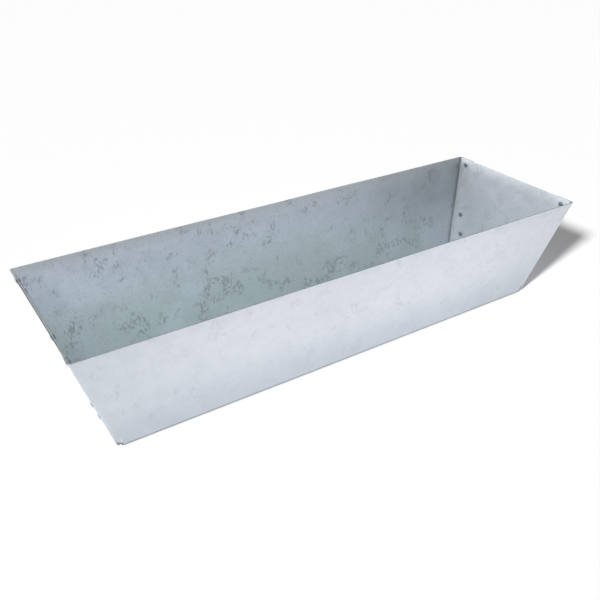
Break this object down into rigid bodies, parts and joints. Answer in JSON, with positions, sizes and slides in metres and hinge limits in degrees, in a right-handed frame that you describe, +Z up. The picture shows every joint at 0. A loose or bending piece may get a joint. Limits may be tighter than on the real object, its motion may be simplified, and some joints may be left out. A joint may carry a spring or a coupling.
{
  "type": "trough feeder",
  "caption": "Open feed trough for poultry, folded from galvanised sheet, with sloping walls and end panels held by blind rivets.",
  "frame": {"origin": "centre of the bounding box's bottom, on the surface the trough stands on", "axes": "+X along the trough, towards the end_panel_right end; +Y across it, towards the back long wall; +Z up"},
  "size_m": [0.5, 0.16, 0.1042],
  "materials": {
    "galvanised_sheet": "hot-dip galvanised sheet, cloudy pale grey, semi-matt",
    "rivet": "plain aluminium, satin",
    "mandrel": "dull dark steel"
  },
  "bodies": {
    "root": {"trough_body": "galvanised_sheet", "end_panel_left": "galvanised_sheet", "end_panel_right": "galvanised_sheet", "rivet_left_front_top": "rivet", "rivet_left_front_middle": "rivet", "rivet_left_front_bottom": "rivet", "rivet_left_back_top": "rivet", "rivet_left_back_middle": "rivet", "rivet_left_back_bottom": "rivet", "rivet_right_front_top": "rivet", "rivet_right_front_middle": "rivet", "rivet_right_front_bottom": "rivet", "rivet_right_back_top": "rivet", "rivet_right_back_middle": "rivet", "rivet_right_back_bottom": "rivet", "mandrel_left_front_top": "mandrel", "mandrel_left_front_middle": "mandrel", "mandrel_left_front_bottom": "mandrel", "mandrel_left_back_top": "mandrel", "mandrel_left_back_middle": "mandrel", "mandrel_left_back_bottom": "mandrel", "mandrel_right_front_top": "mandrel", "mandrel_right_front_middle": "mandrel", "mandrel_right_front_bottom": "mandrel", "mandrel_right_back_top": "mandrel", "mandrel_right_back_middle": "mandrel", "mandrel_right_back_bottom": "mandrel"}
  },
  "joints": []
}
